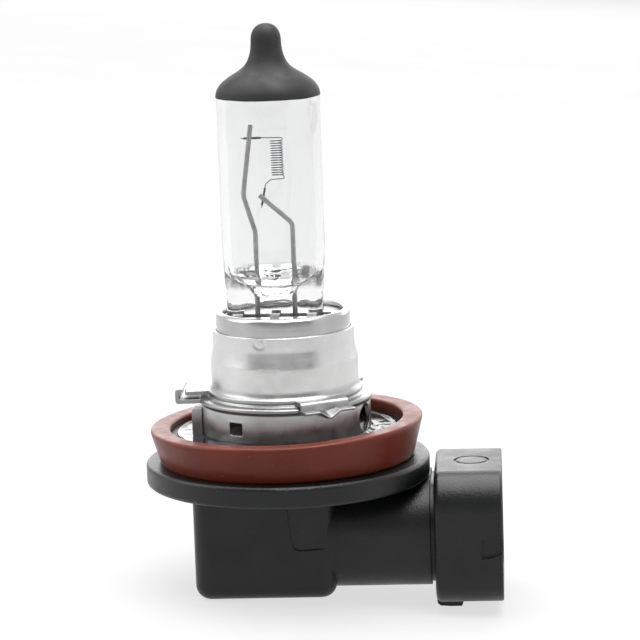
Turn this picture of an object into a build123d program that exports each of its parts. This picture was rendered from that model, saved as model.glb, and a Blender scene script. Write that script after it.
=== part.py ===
from build123d import *
import os

# Capsule headlight bulb with a twist-lock metal cap and a right-angle connector socket.
# Millimetres. The origin is the centre of the reference plane, which is the underside of the
# locking lugs, on the lamp axis. +Z runs up to the glass tip, +X runs to the mouth of the socket.

os.makedirs("parts", exist_ok=True)

# ---- driving dimensions -------------------------------------------------------------------

light_centre_z = 25.0        # filament centre above the reference plane

# glass capsule, which stands a little off the axis so that the coil can stand on it
capsule_x = -0.70
glass_r = 5.3
glass_wall = 0.95
nipple_bore_r = 0.55
glass_bottom_z = 10.9
glass_bottom_round = 1.8
cavity_floor_z = 12.2
cavity_shoulder_drop = 0.45  # how far the cavity stays under the outer shoulder
cavity_neck_drop = 0.55
nipple_bore_z = (36.12, 36.42)
shoulder_z = 33.12           # where the tube wall and the shoulder cone would meet
shoulder_round = 1.6
neck_z = 35.52               # where the shoulder cone and the nipple would meet
neck_round = 1.5
nipple_r = 1.50
tip_z = 38.66
pinch_width = 9.9
pinch_thickness = 3.2
pinch_bottom_z = 4.6
pinch_edge_round = 0.7
paint_thickness = 0.06
paint_edge_z = 31.35

# filament and the parts that carry it
coil_r = 0.615
coil_wire_d = 0.10
coil_turns = 15
coil_pitch = 0.25
leg_y = 0.34                 # the legs pass behind the support leads
crimp_d = 0.22
lead_d = 0.50
long_lead_x = -2.52
short_lead_x = 1.33
lead_bottom_z = 1.6
long_lead_top = (-2.60, 28.50)
long_lead_knee = (-3.63, 21.20)
long_lead_foot_z = 17.45
short_lead_top = (-1.95, 21.20)
short_lead_knee_z = 18.25
long_lead_bend = 1.6
short_lead_bend = 0.8

# burner ring, which holds the capsule, and focus sleeve, which is welded round it
burner_ring_r = 6.92
burner_ring_top_z = 9.35
burner_ring_bottom_z = 3.2
burner_ring_lip_r = 6.30
burner_ring_curl = 0.55      # how far the rolled rim turns down inside
curl_sheet = 0.22
ring_sheet = 0.30
sleeve_top_r = 7.28
sleeve_r = 7.60
sleeve_top_z = 7.50
sleeve_shoulder_z = 5.20
sleeve_foot_round = 0.75
foot_top_z = 1.20
foot_sheet = 0.40
foot_r = 7.95
foot_tab_width = 3.7
foot_tab_r = 10.4
foot_lip = 1.0               # how far the foot turns in under the sleeve
clip_z = 8.45
clip_r = 6.55
clip_skirt = 2.75
clip_slot_x = (-6.45, 5.0)
clip_slot_width = 1.6
clip_finger_width = 1.0
clip_finger_height = 0.35
clip_finger_pitch = 3.8

# base ring with its three locking lugs
base_ring_r = 8.75
base_ring_sheet = 0.40
base_ring_bottom_z = -6.0
bead_r = 8.98
bead_top_z = 0.50
bead_round = 0.12
step_r = 8.25                # the raised land that the focus sleeve stands on
base_ring_lip_r = 6.7
seat_r = 8.60                # the buried lower part of the wall
sealant_top_z = -3.2
lug_count = 3
first_lug_angle = 60
lug_width = 4.4
lug_r = 11.25
lug_sheet = 0.40
hem_angle = 180
hem_height = 1.50
hem_depth = 1.10
hem_sheet = 0.30
detent_angles = (-60, 60)
detent_lug_width = 5.6       # the two lugs with a detent are wider and shorter than the keyed one
detent_lug_r = 10.45
detent_half_width = 1.05
detent_depth = 0.65
key_r = 9.60
key_width = 4.4
key_top_z = -0.5
window_angle = -121.7
window_width = 1.60
window_height = 1.30
vent_angle = -18
vent_d = 2.90
opening_z = -1.70
opening_cut = 2.4            # how far the window and the vent are cut through the wall

# seal ring
seal_top_z = -2.30
seal_bottom_z = -6.15
seal_top_r = 14.10
seal_bottom_r = 13.08
seal_bore_r = 12.05
seal_edge_round = 0.25
seal_rim_bevel = (0.25, 0.30)
seal_bore_bevel = (0.20, 0.35)

# moulded socket housing
flange_r = 14.70
flange_top_z = -6.15
flange_bottom_z = -8.40
collar_r = 12.00
collar_rim_r = 11.30
collar_rim_z = -3.35
collar_floor_z = -4.20
body_x = (-9.50, 5.05)
body_half_y = 7.40
body_bottom_z = -19.75
body_corner = 1.7
body_foot_round = 1.5
body_wall = 1.9
cavity_corner = 0.8
panel_x = (0.0, 0.70)
panel_bottom_z = (-14.55, -14.30)
panel_depth = 0.18
neck_half_y = 7.20
neck_top_z = -8.40
neck_bottom_z = -19.40
neck_corner = 4.80
neck_groove_length = 0.45    # the narrow groove between the neck and the shroud
neck_groove_depth = 0.35
shroud_x = (15.20, 22.10)
shroud_half_y = 8.50
shroud_top_z = -7.00
shroud_bottom_z = -20.65
shroud_corner = 3.60
shroud_wall = 1.25
shroud_back_round = 0.6
shroud_mouth_round = 0.2
socket_floor_x = 16.60
key_rib_y = 4.2
key_rib_width = 1.0
key_rib_height = 0.6
latch_ramp_height = 0.85
latch_ramp_length = 2.55
latch_ramp_nose = ((0, 0.30), (0.10, 0.58), (0.35, 0.77))
latch_ramp_run_out = 0.5
latch_ramp_half_y = 4.0
pocket_depth = 0.45
pocket_length = 2.15
pocket_height = 2.10
pocket_slant = (0.60, 0.50)
mark_r = 1.85
mark_line = 0.30
mark_depth = 0.12

# terminals
blade_width = 2.80
blade_thickness = 0.80
blade_y = 3.00
blade_tip_x = 21.00
blade_tip_bevel = (0.35, 0.60)
strap_width = 1.60
strap_sheet = 0.30
insulator_z = (-5.8, -3.9)
insulator_rim = 1.2
insulator_rim_height = 1.4
carrier_top_z = -9.6
slide_clearance = 0.1

# ---- derived dimensions -------------------------------------------------------------------

capsule_plane = Plane(origin=(capsule_x, 0, 0), x_dir=(1, 0, 0), z_dir=(0, -1, 0))
capsule_axis = Axis((capsule_x, 0, 0), (0, 0, 1))
lead_r = lead_d / 2
shroud_mid_z = (shroud_top_z + shroud_bottom_z) / 2
shroud_height = shroud_top_z - shroud_bottom_z
neck_mid_z = (neck_top_z + neck_bottom_z) / 2
neck_height = neck_top_z - neck_bottom_z
cavity_x = (body_x[0] + body_wall, body_x[1] - body_wall)
cavity_half_y = body_half_y - body_wall
cavity_bottom_z = body_bottom_z + body_wall
cavity_mid_x = (cavity_x[0] + cavity_x[1]) / 2
ring_bore_r = seat_r - base_ring_sheet
step_top_z = foot_top_z - foot_sheet
blade_top_z = shroud_mid_z + blade_thickness / 2
leg_top_z = -7.0
leg_width = 2.0
leg_face_y = blade_y - blade_width / 2      # the face of a terminal leg that its strap lies on
mark_centre = (19.0, 0)
pocket_top_z = shroud_mid_z + 0.45


def save(part, name):
    """Label one finished piece and write it under its node name."""
    part.label = name
    export_step(part, f"parts/{name}.step")


def capsule_outline(grow=0.0, bottom=glass_bottom_z, bottom_round=glass_bottom_round):
    """Half outline of the capsule from its floor to its tip, grown outwards by a layer."""
    wall = glass_r + grow
    tip_r = nipple_r + grow
    rise = tip_z + grow - tip_r
    FilletPolyline(
        (0, bottom),
        (wall, bottom),
        (wall, shoulder_z + grow),
        (tip_r, neck_z + grow),
        (tip_r, rise),
        radius=[bottom_round, shoulder_round + grow, neck_round - grow],
    )
    RadiusArc((tip_r, rise), (0, rise + tip_r), -tip_r)
    Line((0, rise + tip_r), (0, bottom))


# ---- glass capsule ------------------------------------------------------------------------

with BuildPart() as glass_envelope:
    with BuildSketch(capsule_plane):
        with BuildLine():
            capsule_outline()
        make_face()
    revolve(axis=capsule_axis)
    with BuildSketch(Plane.XY.offset(pinch_bottom_z)):
        with Locations((capsule_x, 0)):
            RectangleRounded(pinch_width, pinch_thickness, pinch_edge_round)
    extrude(amount=cavity_floor_z - pinch_bottom_z)
    with BuildSketch(capsule_plane):
        with BuildLine():
            cavity = FilletPolyline(
                (0, cavity_floor_z),
                (glass_r - glass_wall, cavity_floor_z),
                (glass_r - glass_wall, shoulder_z - cavity_shoulder_drop),
                (nipple_bore_r, neck_z - cavity_neck_drop),
                (nipple_bore_r, nipple_bore_z[0]),
                (0, nipple_bore_z[1]),
                radius=[2.0, 1.2, 0.6, 0.2],
            )
            Line(cavity @ 1, cavity @ 0)
        make_face()
    revolve(axis=capsule_axis, mode=Mode.SUBTRACT)
    with BuildSketch(Plane.XY.offset(pinch_bottom_z)):
        with Locations((long_lead_x, 0), (short_lead_x, 0)):
            Circle(lead_r)
    extrude(amount=cavity_floor_z - pinch_bottom_z + 1, mode=Mode.SUBTRACT)
save(glass_envelope.part, "glass_envelope")

with BuildPart() as blackout_cap:
    with BuildSketch(capsule_plane):
        with BuildLine():
            capsule_outline(grow=paint_thickness, bottom=paint_edge_z, bottom_round=0.02)
        make_face()
        with BuildLine():
            capsule_outline(bottom=paint_edge_z - 1, bottom_round=0.02)
        make_face(mode=Mode.SUBTRACT)
    revolve(axis=capsule_axis)
save(blackout_cap.part, "blackout_cap")

# ---- filament, its two crimp sleeves and its two support leads ----------------------------

coil_height = coil_turns * coil_pitch
coil_bottom_z = light_centre_z - coil_height / 2
coil_top_z = light_centre_z + coil_height / 2
upper_leg_z = coil_top_z + 0.16
upper_crimp_x = (-3.42, -1.62)
lower_crimp_top = Vector(-1.37, leg_y, 21.90)
lower_crimp_bottom = Vector(-1.75, leg_y, 20.10)
lower_slope = (lower_crimp_bottom - lower_crimp_top).normalized()
lower_leg_corner = lower_crimp_top - lower_slope * 0.35
lower_leg_end = lower_crimp_bottom + lower_slope * 0.26

with BuildPart() as filament:
    with BuildLine():
        coil = Helix(coil_pitch, coil_height, coil_r, center=(0, 0, coil_bottom_z))
    with BuildSketch(Plane(origin=coil @ 0, z_dir=coil % 0)):
        Circle(coil_wire_d / 2)
    sweep(path=coil, is_frenet=True)
    with BuildLine():
        upper_leg = FilletPolyline(
            coil @ 1,
            (coil_r, 0.12, upper_leg_z),
            (coil_r - 0.4, leg_y, upper_leg_z),
            (upper_crimp_x[0] - 0.30, leg_y, upper_leg_z),
            radius=[0.06, 0.15],
        )
    with BuildSketch(Plane(origin=upper_leg @ 0, z_dir=upper_leg % 0)):
        Circle(coil_wire_d / 2)
    sweep(path=upper_leg)
    with BuildLine():
        lower_leg = FilletPolyline(
            coil @ 0,
            (coil_r + 0.04, -0.10, coil_bottom_z - 0.30),
            (-0.90, leg_y, 22.69),
            lower_leg_corner,
            lower_leg_end,
            radius=[0.10, 0.20, 0.20],
        )
    with BuildSketch(Plane(origin=lower_leg @ 0, z_dir=lower_leg % 0)):
        Circle(coil_wire_d / 2)
    sweep(path=lower_leg)
save(filament.part, "filament")

with BuildPart() as upper_crimp_sleeve:
    with BuildSketch(Plane.YZ.offset(upper_crimp_x[0])):
        with Locations((leg_y, upper_leg_z)):
            Circle(crimp_d / 2)
            Circle(coil_wire_d / 2, mode=Mode.SUBTRACT)
    extrude(amount=upper_crimp_x[1] - upper_crimp_x[0])
save(upper_crimp_sleeve.part, "upper_crimp_sleeve")

with BuildPart() as lower_crimp_sleeve:
    with BuildSketch(Plane(origin=lower_crimp_top, z_dir=lower_slope)):
        Circle(crimp_d / 2)
        Circle(coil_wire_d / 2, mode=Mode.SUBTRACT)
    extrude(amount=(lower_crimp_bottom - lower_crimp_top).length)
save(lower_crimp_sleeve.part, "lower_crimp_sleeve")

with BuildPart() as long_support_lead:
    with BuildLine() as route:
        FilletPolyline(
            (long_lead_x, 0, lead_bottom_z),
            (long_lead_x, 0, long_lead_foot_z),
            (long_lead_knee[0], 0, long_lead_knee[1]),
            (long_lead_top[0], 0, long_lead_top[1]),
            radius=long_lead_bend,
        )
    with BuildSketch(Plane(origin=(long_lead_x, 0, lead_bottom_z), z_dir=(0, 0, 1))):
        Circle(lead_r)
    sweep(path=route.wire())
save(long_support_lead.part, "long_support_lead")

with BuildPart() as short_support_lead:
    with BuildLine() as route:
        FilletPolyline(
            (short_lead_x, 0, lead_bottom_z),
            (short_lead_x, 0, short_lead_knee_z),
            (short_lead_top[0], 0, short_lead_top[1]),
            radius=short_lead_bend,
        )
    with BuildSketch(Plane(origin=(short_lead_x, 0, lead_bottom_z), z_dir=(0, 0, 1))):
        Circle(lead_r)
    sweep(path=route.wire())
save(short_support_lead.part, "short_support_lead")

# ---- burner ring, pinch clip and focus sleeve ---------------------------------------------

with BuildPart() as burner_ring:
    with BuildSketch(Plane.XZ):
        with BuildLine():
            outer = FilletPolyline(
                (burner_ring_r, burner_ring_bottom_z),
                (burner_ring_r, burner_ring_top_z),
                (burner_ring_lip_r, burner_ring_top_z),
                (burner_ring_lip_r, burner_ring_top_z - burner_ring_curl),
                radius=[0.42, 0.18],
            )
            inner = FilletPolyline(
                (burner_ring_lip_r + curl_sheet, burner_ring_top_z - burner_ring_curl),
                (burner_ring_lip_r + curl_sheet, burner_ring_top_z - ring_sheet),
                (burner_ring_r - ring_sheet, burner_ring_top_z - ring_sheet),
                (burner_ring_r - ring_sheet, burner_ring_bottom_z),
                radius=[0.03, 0.03],
            )
            Line(outer @ 1, inner @ 0)
            Line(inner @ 1, outer @ 0)
        make_face()
    revolve(axis=Axis.Z)
save(burner_ring.part, "burner_ring")

with BuildPart() as pinch_clip:
    with BuildSketch(Plane.XY.offset(clip_z)):
        Circle(clip_r)
        with Locations((capsule_x, 0)):
            RectangleRounded(pinch_width, pinch_thickness, pinch_edge_round, mode=Mode.SUBTRACT)
        with Locations(((clip_slot_x[0] + clip_slot_x[1]) / 2, 0)):
            Rectangle(clip_slot_x[1] - clip_slot_x[0], clip_slot_width, mode=Mode.SUBTRACT)
    extrude(amount=ring_sheet)
    with BuildSketch(Plane.XY.offset(clip_z + ring_sheet)):
        with Locations((capsule_x, 0)):
            with GridLocations(clip_finger_pitch, pinch_thickness + ring_sheet, 3, 2):
                Rectangle(clip_finger_width, ring_sheet)
    extrude(amount=clip_finger_height)
    with BuildSketch(Plane.XY.offset(clip_z - clip_skirt)):
        Circle(clip_r)
        Circle(clip_r - ring_sheet, mode=Mode.SUBTRACT)
    extrude(amount=clip_skirt)
save(pinch_clip.part, "pinch_clip")

with BuildPart() as focus_sleeve:
    with BuildSketch(Plane.XZ):
        with BuildLine():
            outer = FilletPolyline(
                (sleeve_top_r, sleeve_top_z),
                (sleeve_r, sleeve_shoulder_z),
                (sleeve_r, foot_top_z),
                (foot_r, foot_top_z),
                (foot_r, foot_top_z - foot_sheet),
                radius=[2.0, 0.2, 0.05],
            )
            inner = FilletPolyline(
                (sleeve_r - foot_lip, foot_top_z - foot_sheet),
                (sleeve_r - foot_lip, foot_top_z),
                (sleeve_r - ring_sheet, foot_top_z + 0.4),
                (sleeve_r - ring_sheet, sleeve_shoulder_z),
                (sleeve_top_r - ring_sheet, sleeve_top_z),
                radius=[0.1, 0.2, 2.0],
            )
            Line(outer @ 1, inner @ 0)
            Line(inner @ 1, outer @ 0)
        make_face()
    revolve(axis=Axis.Z)
    with BuildSketch(Plane.XY.offset(foot_top_z - foot_sheet)):
        with PolarLocations(0, lug_count, start_angle=first_lug_angle):
            with Locations(((foot_r + foot_tab_r) / 2 - 0.25, 0)):
                Rectangle(foot_tab_r - foot_r + 0.5, foot_tab_width)
        Circle(foot_r - 0.3, mode=Mode.SUBTRACT)
    extrude(amount=foot_sheet)
save(focus_sleeve.part, "focus_sleeve")

# ---- base ring with hemmed lugs, detents, key pad, window and vent hole -------------------

with BuildPart() as base_ring:
    with BuildSketch(Plane.XZ):
        with BuildLine():
            Polyline(
                (seat_r, base_ring_bottom_z),
                (seat_r, sealant_top_z),
                (base_ring_r, sealant_top_z),
                (base_ring_r, 0),
                (bead_r, 0.1),
                (bead_r, bead_top_z - bead_round),
                (bead_r - bead_round, bead_top_z),
                (step_r, bead_top_z),
                (step_r, step_top_z),
                (base_ring_lip_r, step_top_z),
                (base_ring_lip_r, step_top_z - base_ring_sheet),
                (step_r - base_ring_sheet, step_top_z - base_ring_sheet),
                (ring_bore_r, bead_top_z - base_ring_sheet),
                (ring_bore_r, base_ring_bottom_z),
                close=True,
            )
        make_face()
    revolve(axis=Axis.Z)
    with Locations((-(seat_r + lug_r) / 2, 0, lug_sheet / 2)):
        Box(lug_r - seat_r, lug_width, lug_sheet)
    for angle in detent_angles:
        with Locations(Location((0, 0, 0), (0, 0, angle))):
            with Locations(((seat_r + detent_lug_r) / 2, 0, lug_sheet / 2)):
                Box(detent_lug_r - seat_r, detent_lug_width, lug_sheet)
    # the hem folded over the outer end of the keyed lug
    with Locations(Location((0, 0, 0), (0, 0, hem_angle))):
        with Locations((lug_r - lug_sheet / 2, 0, hem_height / 2)):
            Box(lug_sheet, lug_width, hem_height)
        with Locations((lug_r - hem_depth / 2, 0, hem_height - hem_sheet / 2)):
            Box(hem_depth, lug_width, hem_sheet)
    hem_edges = base_ring.edges().filter_by(Axis.Y).sort_by(Axis.X)[:2]
    fillet(hem_edges, radius=hem_sheet)
    # the V detents: a pressed ridge under the lug and the matching groove in its top
    for angle in detent_angles:
        groove_plane = Plane.YZ.rotated((0, 0, angle))
        for height, mode in ((0, Mode.ADD), (lug_sheet, Mode.SUBTRACT)):
            with BuildSketch(groove_plane.offset(bead_r)):
                with BuildLine():
                    Polyline(
                        (-detent_half_width, height + 0.001),
                        (0, height - detent_depth),
                        (detent_half_width, height + 0.001),
                        close=True,
                    )
                make_face()
            extrude(amount=detent_lug_r - bead_r - (0 if height == 0 else lug_sheet), mode=mode)
    with Locations((-(key_r + seat_r) / 2, 0, (sealant_top_z + key_top_z) / 2)):
        Box(key_r - seat_r, key_width, key_top_z - sealant_top_z)
    with Locations(Plane.YZ.rotated((0, 0, window_angle)).offset(base_ring_r)):
        with Locations((0, opening_z)):
            Box(window_width, window_height, opening_cut, mode=Mode.SUBTRACT)
    with Locations(Plane.YZ.rotated((0, 0, vent_angle)).offset(base_ring_r)):
        with Locations((0, opening_z)):
            Cylinder(vent_d / 2, opening_cut, mode=Mode.SUBTRACT)
save(base_ring.part, "base_ring")

# ---- insulating disc, lead straps, terminals and their carrier ----------------------------

strap_route = (
    (lead_r + strap_sheet / 2, 4.0),
    (lead_r + strap_sheet / 2, -0.5),
    (leg_face_y - strap_sheet / 2, -2.6),
    (leg_face_y - strap_sheet / 2, carrier_top_z + 0.4),
)
strap_low_y = leg_face_y - strap_sheet / 2

with BuildPart() as lead_insulator:
    with BuildSketch(Plane.XY.offset(insulator_z[0])):
        Circle(ring_bore_r)
        with Locations((long_lead_x, -strap_low_y), (short_lead_x, strap_low_y)):
            Rectangle(strap_width, strap_sheet, mode=Mode.SUBTRACT)
    extrude(amount=insulator_z[1] - insulator_z[0])
    with BuildSketch(Plane.XY.offset(insulator_z[1])):
        Circle(ring_bore_r)
        Circle(ring_bore_r - insulator_rim, mode=Mode.SUBTRACT)
    extrude(amount=insulator_rim_height)
save(lead_insulator.part, "lead_insulator")

# The two circuits differ in the lead they start from and the side of the lamp they run down.
circuits = {"long": (long_lead_x, -1), "short": (short_lead_x, 1)}

for name, (lead_x, side) in circuits.items():
    with BuildPart() as strap:
        with BuildSketch(Plane.YZ.offset(lead_x - strap_width / 2)):
            with BuildLine():
                Polyline([(side * y, z) for y, z in strap_route])
            trace(line_width=strap_sheet)
        extrude(amount=strap_width)
    save(strap.part, f"{name}_lead_strap")

    with BuildPart() as terminal:
        with BuildSketch(Plane.XY.offset(blade_top_z - blade_thickness)):
            with Locations(((lead_x - leg_width / 2 + blade_tip_x) / 2, side * blade_y)):
                Rectangle(blade_tip_x - lead_x + leg_width / 2, blade_width)
        extrude(amount=blade_thickness)
        tip_edges = terminal.faces().sort_by(Axis.X)[-1].edges()
        chamfer(tip_edges.filter_by(Axis.Y), length=blade_tip_bevel[0], length2=blade_tip_bevel[1])
        with Locations((lead_x, side * (leg_face_y + blade_thickness / 2), (blade_top_z + leg_top_z) / 2)):
            Box(leg_width, blade_thickness, leg_top_z - blade_top_z)
    save(terminal.part, f"{name}_side_terminal")

with BuildPart() as terminal_carrier:
    with BuildSketch(Plane.XY.offset(blade_top_z)):
        with Locations((cavity_mid_x, 0)):
            RectangleRounded(
                cavity_x[1] - cavity_x[0] - slide_clearance,
                2 * cavity_half_y - slide_clearance,
                cavity_corner,
            )
        for lead_x, side in circuits.values():
            with Locations((lead_x, side * (leg_face_y + blade_thickness / 2))):
                Rectangle(leg_width, blade_thickness, mode=Mode.SUBTRACT)
    extrude(amount=carrier_top_z - blade_top_z)
save(terminal_carrier.part, "terminal_carrier")

# ---- sealant and seal ring ----------------------------------------------------------------

with BuildPart() as sealing_compound:
    with BuildSketch(Plane.XY.offset(collar_floor_z)):
        Circle(collar_rim_r)
        Circle(seat_r, mode=Mode.SUBTRACT)
    extrude(amount=sealant_top_z - collar_floor_z)
save(sealing_compound.part, "sealing_compound")

with BuildPart() as seal_ring:
    with BuildSketch(Plane.XZ):
        with BuildLine():
            Polyline(
                (seal_bore_r, seal_bottom_z),
                (seal_bottom_r, seal_bottom_z),
                (seal_top_r, seal_top_z - seal_rim_bevel[1]),
                (seal_top_r - seal_rim_bevel[0], seal_top_z),
                (seal_bore_r + seal_bore_bevel[0], seal_top_z),
                (seal_bore_r, seal_top_z - seal_bore_bevel[1]),
                close=True,
            )
        make_face()
    revolve(axis=Axis.Z)
    fillet(seal_ring.edges().filter_by(GeomType.CIRCLE).sort_by(SortBy.RADIUS)[-2:], radius=seal_edge_round)
save(seal_ring.part, "seal_ring")

# ---- moulded socket housing ---------------------------------------------------------------

with BuildPart() as body_block:
    with BuildSketch(Plane.XY.offset(body_bottom_z)):
        with Locations((sum(body_x) / 2, 0)):
            RectangleRounded(body_x[1] - body_x[0], 2 * body_half_y, body_corner)
    extrude(amount=flange_bottom_z - body_bottom_z)
    fillet(body_block.faces().sort_by(Axis.Z)[0].edges(), radius=body_foot_round)

with BuildPart() as shroud_block:
    with BuildSketch(Plane.YZ.offset(shroud_x[0])):
        with Locations((0, shroud_mid_z)):
            RectangleRounded(2 * shroud_half_y, shroud_height, shroud_corner)
    extrude(amount=shroud_x[1] - shroud_x[0])
    fillet(shroud_block.faces().sort_by(Axis.X)[0].edges(), radius=shroud_back_round)
    fillet(shroud_block.faces().sort_by(Axis.X)[-1].edges(), radius=shroud_mouth_round)

with BuildPart() as socket_housing:
    with BuildSketch(Plane.XY.offset(flange_bottom_z)):
        Circle(flange_r)
    extrude(amount=flange_top_z - flange_bottom_z)
    fillet(socket_housing.edges().filter_by(GeomType.CIRCLE), radius=0.4)
    with BuildSketch(Plane.XY.offset(flange_top_z)):
        Circle(collar_r)
    extrude(amount=collar_rim_z - flange_top_z)
    with BuildSketch(Plane.YZ.offset(cavity_x[1])):
        with Locations((0, neck_mid_z)):
            RectangleRounded(2 * neck_half_y, neck_height, neck_corner)
    extrude(amount=shroud_x[0] - neck_groove_length - cavity_x[1])
    with BuildSketch(Plane.YZ.offset(cavity_x[1])):
        with Locations((0, neck_mid_z)):
            RectangleRounded(
                2 * (neck_half_y - neck_groove_depth),
                neck_height - 2 * neck_groove_depth,
                neck_corner - neck_groove_depth,
            )
    extrude(amount=shroud_x[0] + 0.5 - cavity_x[1])
    add(body_block.part)
    add(shroud_block.part)
    with BuildSketch(Plane.XZ):
        with BuildLine():
            Polyline(
                (shroud_x[0], shroud_bottom_z + shroud_wall / 2),
                *[(shroud_x[0] + x, shroud_bottom_z - drop) for x, drop in latch_ramp_nose],
                (shroud_x[0] + latch_ramp_height, shroud_bottom_z - latch_ramp_height),
                (shroud_x[0] + latch_ramp_length, shroud_bottom_z - latch_ramp_height),
                (shroud_x[0] + latch_ramp_length + latch_ramp_run_out, shroud_bottom_z + shroud_wall / 2),
                close=True,
            )
        make_face()
    extrude(amount=latch_ramp_half_y, both=True)
    # the socket, with two key ribs on its roof
    with BuildSketch(Plane.YZ.offset(socket_floor_x)):
        with Locations((0, shroud_mid_z)):
            RectangleRounded(
                2 * (shroud_half_y - shroud_wall),
                shroud_height - 2 * shroud_wall,
                shroud_corner - shroud_wall,
            )
        with Locations((0, shroud_top_z - shroud_wall)):
            with GridLocations(2 * key_rib_y, 0, 2, 1):
                Rectangle(key_rib_width, 2 * key_rib_height, mode=Mode.SUBTRACT)
    extrude(amount=shroud_x[1] - socket_floor_x, mode=Mode.SUBTRACT)
    # the lead-in pocket on the side of the mouth, with a slanted floor
    with BuildSketch(Plane.XZ.offset(shroud_half_y)):
        with BuildLine():
            Polyline(
                (shroud_x[1] - pocket_length, pocket_top_z),
                (shroud_x[1] + 0.10, pocket_top_z),
                (shroud_x[1] + 0.10, pocket_top_z - pocket_height + pocket_slant[1]),
                (shroud_x[1] - pocket_length + pocket_slant[0], pocket_top_z - pocket_height),
                (shroud_x[1] - pocket_length, pocket_top_z - pocket_height),
                close=True,
            )
        make_face()
    extrude(amount=-pocket_depth, mode=Mode.SUBTRACT)
    # a plain moulded ring on the roof of the shroud
    with BuildSketch(Plane.XY.offset(shroud_top_z)):
        with Locations(mark_centre):
            Circle(mark_r)
            Circle(mark_r - mark_line, mode=Mode.SUBTRACT)
    extrude(amount=-mark_depth, mode=Mode.SUBTRACT)
    # the shallow panel on the front of the body
    with BuildSketch(Plane.XZ.offset(body_half_y)):
        with BuildLine():
            panel = FilletPolyline(
                (panel_x[0], flange_bottom_z),
                (panel_x[1], panel_bottom_z[0]),
                (body_x[1] + 0.10, panel_bottom_z[1]),
                (body_x[1] + 0.10, flange_bottom_z),
                radius=[0.9, 0.05],
            )
            Line(panel @ 1, panel @ 0)
        make_face()
    extrude(amount=-panel_depth, mode=Mode.SUBTRACT)
    # the bore for the base ring, the sealant trough and the terminal cavity
    with BuildSketch(Plane.XY.offset(collar_rim_z)):
        Circle(collar_rim_r)
    extrude(amount=collar_floor_z - collar_rim_z, mode=Mode.SUBTRACT)
    with BuildSketch(Plane.XY.offset(collar_rim_z)):
        Circle(seat_r)
    extrude(amount=base_ring_bottom_z - collar_rim_z, mode=Mode.SUBTRACT)
    with BuildSketch(Plane.XY.offset(collar_rim_z)):
        Circle(ring_bore_r - 0.3)
    extrude(amount=flange_bottom_z - collar_rim_z, mode=Mode.SUBTRACT)
    with BuildSketch(Plane.XY.offset(cavity_bottom_z)):
        with Locations((cavity_mid_x, 0)):
            RectangleRounded(cavity_x[1] - cavity_x[0], 2 * cavity_half_y, cavity_corner)
    extrude(amount=flange_bottom_z - cavity_bottom_z, mode=Mode.SUBTRACT)
    with Locations(((cavity_x[1] + socket_floor_x) / 2, 0, shroud_mid_z)):
        with GridLocations(0, 2 * blade_y, 1, 2):
            Box(socket_floor_x - cavity_x[1] + 1, blade_width, blade_thickness, mode=Mode.SUBTRACT)
save(socket_housing.part, "socket_housing")
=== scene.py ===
import math

import bmesh
import bpy
from mathutils import Matrix, Vector, noise


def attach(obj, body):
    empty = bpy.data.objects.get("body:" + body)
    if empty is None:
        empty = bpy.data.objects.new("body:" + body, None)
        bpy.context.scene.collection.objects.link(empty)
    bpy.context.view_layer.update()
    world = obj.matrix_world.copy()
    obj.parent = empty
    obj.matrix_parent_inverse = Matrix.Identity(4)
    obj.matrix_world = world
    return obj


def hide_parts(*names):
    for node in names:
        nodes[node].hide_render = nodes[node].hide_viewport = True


# The looks of the capsule headlight bulb. Shapes and the sizes in materials are written in
# millimetres and scaled to metres as they are used; the studio is in metres. The origin is on the
# lamp's axis, at the reference plane under the locking lugs.

MM = 0.001
TAU = 2 * math.pi

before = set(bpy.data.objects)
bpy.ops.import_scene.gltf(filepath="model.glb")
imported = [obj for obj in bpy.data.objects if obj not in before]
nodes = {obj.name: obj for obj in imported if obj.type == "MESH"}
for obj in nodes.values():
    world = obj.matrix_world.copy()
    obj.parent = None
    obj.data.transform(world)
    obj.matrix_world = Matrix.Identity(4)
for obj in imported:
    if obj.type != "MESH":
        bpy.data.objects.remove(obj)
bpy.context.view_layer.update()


# ---- small helpers --------------------------------------------------------------------------

def smooth_step(low, high, value):
    """0 at low and 1 at high, eased between them. low may be the larger of the two."""
    t = min(1.0, max(0.0, (value - low) / (high - low)))
    return t * t * (3 - 2 * t)


def blob(distance, radius):
    """1 where distance is 0, fading out over radius."""
    return math.exp(-(distance / radius) ** 2)


def rough(x, y, z, size):
    """Smooth random value from -1 to 1 that changes over a length of size."""
    return noise.noise(Vector((x / size, y / size, z / size)))


def angle_gap(a, b):
    return (a - b + math.pi) % TAU - math.pi


def arc(cx, cz, radius, start, end, steps):
    """Points on an arc in a (radius, height) profile. Angles in degrees."""
    out = []
    for i in range(steps + 1):
        a = math.radians(start + (end - start) * i / steps)
        out.append((cx + radius * math.cos(a), cz + radius * math.sin(a)))
    return out


def refine(profile, step):
    """The profile with points added so that no stretch is longer than step."""
    out = [profile[0]]
    for (r0, z0), (r1, z1) in zip(profile, profile[1:]):
        n = max(1, math.ceil(math.hypot(r1 - r0, z1 - z0) / step))
        for i in range(1, n + 1):
            out.append((r0 + (r1 - r0) * i / n, z0 + (z1 - z0) * i / n))
    return out


def store(bm, mesh, smooth_angle):
    """Write bm to the mesh, smooth except where two faces meet at more than smooth_angle."""
    limit = math.radians(smooth_angle)
    for face in bm.faces:
        face.smooth = True
    for edge in bm.edges:
        edge.smooth = len(edge.link_faces) == 2 and edge.calc_face_angle(0) < limit
    bm.to_mesh(mesh)
    bm.free()


def make_object(name, verts, faces, smooth_angle=40):
    mesh = bpy.data.meshes.new(name)
    mesh.from_pydata([tuple(c * MM for c in v) for v in verts], [], faces)
    mesh.validate()
    bm = bmesh.new()
    bm.from_mesh(mesh)
    bmesh.ops.recalc_face_normals(bm, faces=bm.faces)
    store(bm, mesh, smooth_angle)
    obj = bpy.data.objects.new(name, mesh)
    bpy.context.scene.collection.objects.link(obj)
    return obj


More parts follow.
